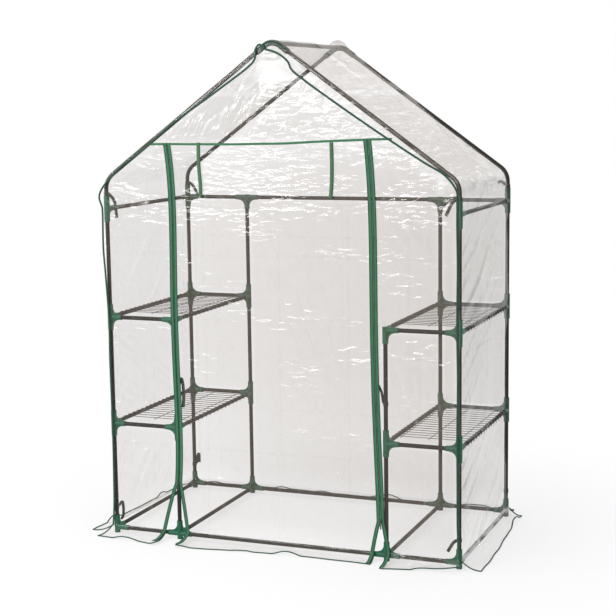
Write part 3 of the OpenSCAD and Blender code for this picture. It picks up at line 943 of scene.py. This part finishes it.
def end_members(inner_top, cross_z):
    """Frame members at the front or back, as (x0, z0, x1, z1).

    Given are the top of the inner posts, and the height of the eave rail or seam across them."""
    members = [(-X_OUT, z, X_OUT, z) for z in (BASE_Z, cross_z)]
    for side, _ in SIDES:
        outer, inner = side * X_OUT, side * X_IN
        members += [(outer, BASE_Z, outer, POST_TOP), (inner, BASE_Z, inner, inner_top),
                    (0, TOP_Z - FILM, side * (X_OUT - 0.03), BEND_Z + 0.02)]
        members += [(inner, z, outer, z) for z in SHELF_Z]
    return members


def zip_members():
    """The zips, which hold the front film like frame members."""
    members = []
    for side, _ in SIDES:
        heights = (SEAM_Z, 1.0, 0.6, SPLIT_Z[side], SKIRT_Z)
        for edge in (zip_edge(side, -1), zip_edge(side, 1)):
            members += [(edge(z0), z0, edge(z1), z1) for z0, z1 in zip(heights, heights[1:])]
    return members


def zip_edge(side, leg):
    """x of the film's edge at a zip, by height. leg is 1 for the side away from the door, -1 towards it."""
    def at(z):
        split = SPLIT_Z[side]
        centre = np.polyval(ZIP_CURVE[side], max(z, split))
        parted = np.clip((split - z) / (split - SKIRT_Z), 0, 1) ** 0.85
        return centre + side * leg * (parted * ZIP_SPREAD[side, leg] + 0.0005)
    return at


def add_panel(name, node_name, rests_on, flat, *, left, right, low, high, y, outward, members, seed,
              skirt=True, slant=0.6, tension=1.0):
    """A hung panel between two edges, left(z) and right(z), with a skirt below if asked: its grid."""
    step = settings().film.mesh_step
    heights = np.linspace(low, high, max(4, round((high - low) / step)))
    columns = max(4, round(max(right(z) - left(z) for z in heights) / step))
    shares = np.linspace(0, 1, columns)
    xs = np.concatenate([left(z) + (right(z) - left(z)) * shares for z in heights])
    zs = np.repeat(heights, columns)
    lift = film_lift(xs, zs, members, seed, slant, tension)
    grid = hug_corners(np.stack([xs, y + outward * lift, zs], axis=1)).reshape(len(heights), columns, 3)
    touch = film_touch(xs, zs, members).reshape(len(heights), columns)
    if skirt:
        foot = np.stack([grid[0, :, 0], np.full(columns, y), np.full(columns, SKIRT_Z)], axis=1)
        laid = SKIRT_BACK if outward > 0 else SKIRT_FRONT
        flap = skirt_grid(foot, (0, outward), foot[:, 0], laid, seed + 30)
        grid = np.concatenate([flap[:0:-1], grid])
        touch = np.concatenate([np.zeros((SKIRT_ROWS - 1, columns)), touch])
    film_sheet(name, grid, touch, outward > 0, [node_name])
    return grid


# Grids of the panels whose edges the trim follows
EDGES = {}


class PIECE_OT_front_panels(bpy.types.Operator):
    """Side panels, door and gable of the front"""
    bl_idname = "greenhouse.front_panels"
    bl_label = "Front Film"

    def execute(self, context):
        common = dict(y=FRONT_Y, outward=-1, members=end_members(SHELF_Z[1], SEAM_Z) + zip_members())
        lower = dict(low=SKIRT_Z, high=SEAM_Z, **common)
        tall = SEAM_Z - SKIRT_Z + SKIRT_CUT
        rests = ["front_rafters", "front_base_rail"]
        for side, label in SIDES:
            outer = front_left_edge if side < 0 else film_edge
            left, right = (outer, zip_edge(-1, 1)) if side < 0 else (zip_edge(1, 1), outer)
            EDGES[label] = add_panel(
                f"front_{label}_panel", f"front_{label}_film", rests, (WALL_X - ZIP_X, tall),
                left=left, right=right, seed=44.0 + 3.5 * side, slant=0.5 * side, **lower)
        EDGES["door"] = add_panel(
            "door_panel", "door_film", rests, (2 * ZIP_X, tall), left=zip_edge(-1, -1),
            right=zip_edge(1, -1), seed=54.5, slant=0.2, tension=0.4, **lower)
        add_panel(
            "gable_panel", "gable_film", ["front_rafters"], (2 * film_edge(SEAM_Z), TOP_Z - SEAM_Z),
            left=lambda z: -film_edge(z), right=film_edge, low=SEAM_Z, high=TOP_Z - 0.001, seed=64.5,
            skirt=False, slant=-0.49, tension=1.3, **common)
        return {"FINISHED"}


def front_left_edge(z):
    """x of the front's left edge at a height: it stands out a little below the eave."""
    return -film_edge(z) - 0.002 * np.clip((BEND_Z - z) / 0.05, 0, 1)


class PIECE_OT_back_panel(bpy.types.Operator):
    """Back of the cover, with its skirt"""
    bl_idname = "greenhouse.back_panel"
    bl_label = "Back Film"

    def execute(self, context):
        EDGES["back"] = add_panel(
            "back_panel", "back_film", ["back_rafters", "back_eave_rail"],
            (2 * WALL_X, TOP_Z - SKIRT_Z + SKIRT_CUT), left=lambda z: -film_edge(z), right=film_edge,
            low=SKIRT_Z, high=TOP_Z - 0.001, y=-FRONT_Y, outward=1,
            members=end_members(POST_TOP, EAVE_Z), seed=68.5, slant=0.3, tension=0.4)
        return {"FINISHED"}


# Trim

FORWARD = (0, -1, 0)
# How far the layers of a zip stand out from the film
TAPE_LIFT, CORD_LIFT, STITCH_LIFT, TOOTH_LIFT = 0.0042, 0.0046, 0.0056, 0.0058
# Likewise the piping, the door seam and the roll-up ties
PIPING_LIFT, SEAM_LIFT, TIE_LIFT = 0.005, 0.004, 0.0060
# Ends of the door seam, and the least step along the hem
SEAM_X, HEM_STEP = (-0.505, 0.462), 0.004
TOOTH_SIZE, STITCH_SIZE = (0.0024, 0.0018, 0.0019), (0.0007, 0.0007, 0.0046)
STRAP_W, STRAP_T = 0.012, 0.0012


def facing(path, way):
    """The same outward direction at every point of a path."""
    return np.tile(np.array(way, float), (len(path), 1))


def sew(name, parts, finish, *replaced):
    """A piece of trim from closed shells, in place of CAD nodes if any are named."""
    piece = ride(joined(name, parts, MATERIALS[finish]))
    if replaced:
        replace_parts(piece, *replaced)


class PIECE_OT_hem(bpy.types.Operator):
    """Dark green piping round the edges of the skirt"""
    bl_idname = "greenhouse.hem"
    bl_label = "Hem of the Skirt"

    def execute(self, context):
        thick = HEM_R * 0.8
        ys = np.linspace(-COVER_Y, COVER_Y, EDGES["back"].shape[1] // 2)
        flaps = [EDGES[key][:SKIRT_ROWS] for key in ("left", "door", "right", "back")]
        flaps += [side_skirt(side, ys)[::-1] for side, _ in SIDES]
        parts = []
        for flap in flaps:
            edge = np.concatenate([flap[:0:-1, 0], flap[0], flap[1:, -1]])
            edge[:, 2] = np.maximum(edge[:, 2], thick)
            keep = [0]
            for i in range(1, len(edge)):
                if np.linalg.norm(edge[i] - edge[keep[-1]]) > HEM_STEP:
                    keep.append(i)
            parts.append(sweep(edge[keep], facing(edge[keep], (0, 0, 1)), ellipse(HEM_R, thick, 8)))
        sew("skirt_hem", parts, "piping", "hem")
        return {"FINISHED"}


def zip_line(side, leg, offset, lift):
    """Path and outward directions along one half of a zip, from the seam down the wall to the hem.

    offset is sideways from the film's edge and lift is out of the film."""
    edge = zip_edge(side, leg)
    aside = side * leg * offset
    heights = np.linspace(ZIP_TOP[side], SKIRT_Z, 150)
    wall = np.array([(edge(z) + aside, FRONT_Y - lift, z) for z in heights])
    flap = EDGES["door" if leg < 0 else "right" if side > 0 else "left"][:SKIRT_ROWS - 1]
    foot = flap[::-1, 0 if side == leg else -1] + np.array([aside, 0, lift])
    normals = np.concatenate([facing(wall, FORWARD), facing(foot, (0, -0.4, 0.9))])
    return np.concatenate([wall, foot]), normals


class PIECE_OT_zips(bpy.types.Operator):
    """Zips at both sides of the door, with teeth, stitched tapes, corded edges and sliders"""
    bl_idname = "greenhouse.zips"
    bl_label = "Zips"

    def execute(self, context):
        trim = settings().trim
        half = ZIP_W / 2
        tape = [(-half / 2, -0.0010), (half / 2, -0.0010), (half / 2, 0.0006), (0.0022, 0.0013),
                (0.0, 0.0002), (-0.0022, 0.0013), (-half / 2, 0.0006)]
        for side, label in SIDES:
            tapes, cords, teeth, stitches = [], [], [], []
            for leg in (-1, 1):
                tapes.append(sweep(*zip_line(side, leg, half / 2, TAPE_LIFT), tape))
                cords += [sweep(*zip_line(side, leg, offset, CORD_LIFT), ellipse(0.0017, 0.0015, 8))
                          for offset in (0.0020, half)]
                teeth.append(zip_line(side, leg, 0.0014, TOOTH_LIFT)[0])
                stitches += [zip_line(side, leg, share * half, STITCH_LIFT)[0] for share in (0.34, 0.82)]
            sew(f"{label}_zip_tape", tapes, "tape", f"{label}_zip")
            sew(f"{label}_zip_cords", cords, "piping")
            for kind, paths, pitch, size, finish in (
                    ("teeth", teeth, trim.tooth_pitch, TOOTH_SIZE, "tooth"),
                    ("stitches", stitches, trim.stitch_pitch, STITCH_SIZE, "thread")):
                ride(grown(f"{label}_zip_{kind}", paths, "row_along_path", Pitch=pitch, Size=size,
                           Material=MATERIALS[finish]))
            sew(f"{label}_zip_slider", self.slider(side), "slider")
        return {"FINISHED"}

    def slider(self, side):
        """Shells of the slider where a zip parts, with its pull hanging from it."""
        split = SPLIT_Z[side]
        x = float(np.polyval(ZIP_CURVE[side], split))
        top = split + 0.012
        body = [(x, FRONT_Y - 0.0072, z) for z in np.linspace(top, split - 0.002, 6)]
        pull = smooth_path([(x, FRONT_Y - 0.0105, top - 0.003), (x + 0.001, FRONT_Y - 0.0125, top - 0.016),
                            (x + 0.003, FRONT_Y - 0.0115, top - 0.036)], 0.002)
        return [sweep(body, facing(body, FORWARD), ellipse(0.0052, 0.0030, 12)),
                sweep(pull, facing(pull, FORWARD), ellipse(0.0026, 0.0007, 10))]


# Places (x, z) of the front piping over and under the slopes, and (share of the slope, drop) along them
PIPING_TOP = {
    -1: ((-0.020, 1.890), (-0.033, 1.905), (-0.049, 1.905), (-0.061, 1.886), (-0.060, 1.866),
         (-0.070, 1.845)),
    1: ((-0.020, 1.890), (0.020, 1.878), (0.050, 1.860), (0.070, 1.840))}
PIPING_DROP = {
    -1: ((0.15, 0.038), (0.27, 0.033), (0.38, 0.028), (0.5, 0.021), (0.62, 0.018), (0.8, 0.021),
         (0.93, 0.017)),
    1: ((0.12, 0.054), (0.2, 0.056), (0.35, 0.053), (0.6, 0.044), (0.85, 0.030), (0.97, 0.020))}
PIPING_WALL = {
    -1: ((-0.688, 1.408), (-0.716, 1.376), (-0.729, 1.350), (-0.728, 1.330), (-0.720, 1.310),
         (-0.717, 1.280), (-0.719, 1.150), (-0.714, 1.060), (-0.708, 0.950), (-0.704, 0.850),
         (-0.706, 0.700), (-0.704, 0.450), (-0.706, 0.250), (-0.709, 0.120), (-0.716, SKIRT_Z)),
    1: ((0.699, 1.385), (0.703, 1.340), (0.703, 1.250), (0.705, 1.100), (0.703, 0.900), (0.706, 0.700),
        (0.704, 0.500), (0.705, 0.300), (0.706, 0.150), (0.714, SKIRT_Z))}


def front_edge(side):
    """Path of the piping on one side of the front, from the ridge down to the skirt."""
    places = list(PIPING_TOP[side])
    for share, drop in PIPING_DROP[side]:
        x, z = on_slope(share)
        places.append((side * (x - math.sin(PITCH) * drop), z - math.cos(PITCH) * drop))
    places += PIPING_WALL[side]
    return smooth_path([(x, FRONT_Y - PIPING_LIFT, z) for x, z in places], 0.008)


class PIECE_OT_bindings(bpy.types.Operator):
    """Piping on the front edge and the sewn seam over the door"""
    bl_idname = "greenhouse.bindings"
    bl_label = "Front Piping and Door Seam"

    def execute(self, context):
        width = settings().trim.piping / 2
        lines = [front_edge(side) for side, _ in SIDES]
        sew("front_piping", [sweep(line, facing(line, FORWARD), ellipse(width, width * 0.7))
                             for line in lines], "piping", "front_binding")
        xs = np.linspace(*SEAM_X, 140)
        rise = 0.016 * smoothstep(-0.1, 0.46, xs) + 0.0015 * noise_at(xs * 9, xs * 0, 8.5)
        line = np.stack([xs, np.full(len(xs), FRONT_Y - SEAM_LIFT), SEAM_Z - 0.004 + rise], axis=1)
        half = SEAM_H * 0.36
        tape = [(-half, -0.0008), (half, -0.0008), (half, 0.0010), (half * 0.5, 0.0016),
                (-half * 0.5, 0.0010), (-half, 0.0014)]
        sew("door_seam_tape", [sweep(line, facing(line, FORWARD), tape)], "tape", "door_seam")
        return {"FINISHED"}


def strip(name, line, out, width, finish):
    """A flat woven strip along a path."""
    u, v = width / 2, STRAP_T / 2
    profile = [(-u, -v), (u, -v), (u, v), (-u, v)]
    piece = joined(name, [sweep(line, facing(line, out), profile)], MATERIALS[finish])
    return piece


# Loose ends of the ties at the posts: name, outward direction and path
TIE_ENDS = (
    ("front_right_eave_end", (0.3, -1, 0),
     ((0.697, -0.357, 1.356), (0.668, -0.352, 1.348), (0.640, -0.352, 1.322))),
    ("front_right_eave_tail", (0.4, -1, 0),
     ((0.698, -0.357, 1.352), (0.676, -0.350, 1.334), (0.655, -0.350, 1.290))),
    ("front_left_eave_tail", (0.9, -1, 0),
     ((-0.698, -0.357, 1.356), (-0.676, -0.352, 1.325), (-0.668, -0.352, 1.262))),
    ("back_left_eave_tail", (0.2, -1, 0.2),
     ((-0.698, 0.355, 1.358), (-0.676, 0.349, 1.342), (-0.652, 0.349, 1.300))),
    ("back_right_eave_tail", (0, -1, 0.3),
     ((0.698, 0.355, 1.360), (0.684, 0.350, 1.372), (0.668, 0.350, 1.370))),
    ("front_right_foot_tail", (0.3, -1, 0.2),
     ((0.698, -0.357, 0.106), (0.682, -0.352, 0.092), (0.662, -0.352, 0.058))),
    ("front_left_foot_loop", (1, -0.6, 0),
     ((-0.697, -0.357, 0.110), (-0.684, -0.354, 0.126), (-0.679, -0.354, 0.102), (-0.681, -0.354, 0.070),
      (-0.690, -0.354, 0.054))),
    ("back_left_foot_tail", (0.5, -1, 0),
     ((-0.697, 0.355, 0.110), (-0.688, 0.350, 0.146), (-0.681, 0.350, 0.156), (-0.680, 0.350, 0.118))),
    ("right_inner_tail", (-0.4, -1, 0),
     ((0.419, -0.357, 0.598), (0.412, -0.358, 0.640), (0.398, -0.358, 0.668))),
    ("left_inner_tail", (0.8, -1, 0),
     ((-0.419, -0.357, 0.604), (-0.408, -0.353, 0.642), (-0.401, -0.352, 0.618), (-0.399, -0.352, 0.570),
      (-0.403, -0.352, 0.528))),
)


class PIECE_OT_ties(bpy.types.Operator):
    """Roll-up ties under the door seam, and the loose ends of the ties that hold the cover to the posts"""
    bl_idname = "greenhouse.ties"
    bl_label = "Ties"

    def execute(self, context):
        for side, label in SIDES:
            line = np.array([(side * TIE_X + FRONT_PULL + 0.006 * math.sin(3 * t + side) * t,
                              FRONT_Y - TIE_LIFT - 0.004 * math.sin(4 * t) ** 2 * t,
                              SEAM_Z + 0.002 - TIE_L * t) for t in np.linspace(0, 1, 40)])
            tie = strip(f"{label}_roll_up_tie", line, FORWARD, TIE_W, "tie")
            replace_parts(ride(tie), "roll_up_ties")
        for name, out, places in TIE_ENDS:
            ride(strip(name, smooth_path(places, 0.004), out, STRAP_W, "strap"))
        refinish("post_straps", "strap")
        return {"FINISHED"}


# Frame

class PIECE_OT_shelves(bpy.types.Operator):
    """Round wires of the four shelves, hooked over their rails"""
    bl_idname = "greenhouse.shelves"
    bl_label = "Wire Shelves"

    def execute(self, context):
        tubes = settings().tubes
        radius, gap = tubes.wire_r, 0.0004
        reach = TUBE_R + gap + radius
        wires = dict(Radius=radius, Material=MATERIALS["wire"])
        quarter = [(reach * math.sin(t), reach * math.cos(t)) for t in np.radians(np.linspace(90, 0, 8))]
        for (side, label), (rail, tier) in product(SIDES, zip(SHELF_Z, ("lower", "upper"))):
            name = f"{label}_{tier}_shelf"
            low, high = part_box(name)
            x0, x1 = sorted((side * X_IN, side * X_OUT))
            y0, y1 = low[Y] + tubes.wire_overhang, high[Y] - tubes.wire_overhang
            hook = [(x0 - reach, y0, rail - tubes.hook_tail)]
            hook += [(x0 - out, y0, rail + up) for out, up in quarter]
            hook += [(x1 + out, y0, rail + up) for out, up in quarter[::-1]]
            hook += [(x1 + reach, y0, rail - tubes.hook_tail)]
            cross = grown(name + "_wires", [hook], "wire_row", Count=tubes.wire_count,
                          Step=(0, (y1 - y0) / (tubes.wire_count - 1), 0), **wires)
            ride(cross)
            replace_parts(cross, name)
            start, under = x0 + tubes.long_inset, rail + reach - 2 * radius + gap
            step = ((x1 - x0 - 2 * tubes.long_inset) / (tubes.long_wires - 1), 0, 0)
            path = [(start, low[Y], under), (start, high[Y], under)]
            ride(grown(name + "_long_wires", [path], "wire_row", Count=tubes.long_wires, Step=step,
                       **wires))
        return {"FINISHED"}


class PIECE_OT_frame_finish(bpy.types.Operator):
    """Finishes of the tubes and connectors"""
    bl_idname = "greenhouse.frame_finish"
    bl_label = "Tubes and Connectors"

    def execute(self, context):
        slots = {"steel_tube": "tube", "connector_plastic": "connector"}
        for entry in frame["record"]["subparts"]:
            finish = "apex" if entry["node"] == "ridge_connectors" else slots.get(entry["material_slot"])
            if finish:
                refinish(entry["node"], finish)
        return {"FINISHED"}


# Stage

FLOOR_SIZE = 4.0
# name, place, aim, size and power
LAMPS = (
    ("key", (-2.3, -5.0, 2.5), (0, 0, 1.1), (3.0, 1.1), 190),
    ("top", (0, 0, 4.6), (0, 0, 0), (3.0, 3.0), 90),
    ("left_strip", (-3.6, -1.6, 1.8), (0, 0, 1.0), (0.10, 2.2), 18),
    ("right_strip", (4.2, -2.2, 2.6), (0, 0, 1.0), (0.10, 2.4), 6),
    ("back_strip", (1.5, 4.2, 3.2), (0, 0, 1.1), (0.12, 2.2), 6),
)


def add_lamp(name, place, aim, size, power):
    """A softbox that is turned towards a point."""
    data = bpy.data.lights.new(name, "AREA")
    data.shape = "RECTANGLE"
    data.size, data.size_y = size
    data.energy = power
    way = Vector(aim) - Vector(place)
    turn = way.to_track_quat("-Z", "Y").to_matrix().to_4x4()
    placed(name, data).matrix_world = Matrix.Translation(place) @ turn


def background_rays(tree):
    """1 for the rays that see the surroundings: the camera's, mirrored and refracted ones."""
    path = tree.nodes.new("ShaderNodeLightPath")
    seen = 0.0
    for ray in ("Is Camera Ray", "Is Glossy Ray", "Is Transmission Ray"):
        seen = maths(tree, "MAXIMUM", path.outputs[ray], seen)
    return seen


def white_world(strength):
    """Even light from all round, which the camera sees as plain white."""
    world = bpy.data.worlds.new("studio")
    bpy.context.scene.world = world
    world.use_nodes = True
    tree = world.node_tree
    level = maths(tree, "MULTIPLY_ADD", background_rays(tree), 1 - strength, strength)
    feed(tree, tree.nodes["Background"], {"Color": (1, 1, 1, 1), "Strength": level})


def floor_material():
    """Pale floor that fades into the white round it, with a light shadow."""
    mat, tree, shader = new_material("pale_floor")
    away = vector_maths(tree, "LENGTH", object_place(tree))["Value"]
    feed(tree, shader, {"Base Color": (0.94, 0.94, 0.94, 1), "Roughness": 0.9, "Specular IOR Level": 0.0,
                        "Alpha": ramp(tree, away, 1.9, 0.7)})
    glow = node(tree, "ShaderNodeEmission", Color=(1, 1, 1, 1), Strength=1.0)
    mix = tree.nodes.new("ShaderNodeMixShader")
    sockets = maths(tree, "MULTIPLY", background_rays(tree), 0.66), shader.outputs[0], glow.outputs[0]
    for socket, value in zip(mix.inputs, sockets):
        tree.links.new(value, socket)
    tree.links.new(mix.outputs[0], tree.nodes["Material Output"].inputs["Surface"])
    return mat


def add_camera(stage):
    """The photograph's camera: round a target, and rolled."""
    a, e, roll = stage.azimuth, stage.elevation, stage.roll
    away = Vector((math.sin(a) * math.cos(e), -math.cos(a) * math.cos(e), math.sin(e)))
    right = Vector((0, 0, 1)).cross(away).normalized()
    up = away.cross(right)
    turn = Matrix((math.cos(roll) * right + math.sin(roll) * up,
                   math.cos(roll) * up - math.sin(roll) * right, away)).transposed().to_4x4()
    data = bpy.data.cameras.new("camera")
    data.lens = stage.lens
    data.sensor_width = 36
    camera = placed("camera", data)
    camera.matrix_world = Matrix.Translation(Vector(stage.target) + away * stage.distance) @ turn
    bpy.context.scene.camera = camera


class PIECE_OT_stage(bpy.types.Operator):
    """Floor, lamps, white surroundings and the camera of the photograph's view"""
    bl_idname = "greenhouse.stage"
    bl_label = "Stage"

    def execute(self, context):
        stage = settings().stage
        bpy.context.scene.view_settings.view_transform = "Standard"
        corners = [(x * FLOOR_SIZE, y * FLOOR_SIZE, 0) for x, y in ((-1, -1), (1, -1), (1, 1), (-1, 1))]
        floor = new_object("floor", corners, [(0, 1, 2, 3)], floor_material())
        white_world(stage.world)
        for lamp in LAMPS:
            add_lamp(*lamp)
        add_camera(stage)
        return {"FINISHED"}


class VIEW3D_PT_greenhouse(bpy.types.Panel):
    """Greenhouse pieces and settings"""
    bl_label = "Greenhouse"
    bl_space_type = "VIEW_3D"
    bl_region_type = "UI"
    bl_category = "Greenhouse"

    def draw(self, context):
        for group in (settings().film, settings().trim, settings().tubes, settings().stage):
            box = self.layout.box()
            for key in group.bl_rna.properties.keys():
                if key not in ("rna_type", "name"):
                    box.prop(group, key)
        for operator in OPERATORS:
            self.layout.operator(operator.bl_idname)


OPERATORS = [
    PIECE_OT_stage, PIECE_OT_frame_finish, PIECE_OT_shelves, PIECE_OT_cover_wrap, PIECE_OT_front_panels,
    PIECE_OT_back_panel, PIECE_OT_hem, PIECE_OT_zips, PIECE_OT_bindings, PIECE_OT_ties,
]
CLASSES = [FilmSettings, TrimSettings, FrameSettings, StageSettings, GreenhouseSettings, *OPERATORS,
           VIEW3D_PT_greenhouse]


def register():
    """Adds the settings, operators and panel."""
    for cls in CLASSES:
        bpy.utils.register_class(cls)
    bpy.types.Scene.greenhouse = PointerProperty(
        name="Greenhouse", description="All settings of the greenhouse", type=GreenhouseSettings)


def unregister():
    """Takes them away again."""
    del bpy.types.Scene.greenhouse
    for cls in reversed(CLASSES):
        bpy.utils.unregister_class(cls)


def main():
    """Builds all pieces."""
    register()
    build_materials()
    row_tree()
    along_tree()
    for operator in OPERATORS:
        group, call = operator.bl_idname.split(".")
        getattr(getattr(bpy.ops, group), call)()


if __name__ == "__main__":
    main()
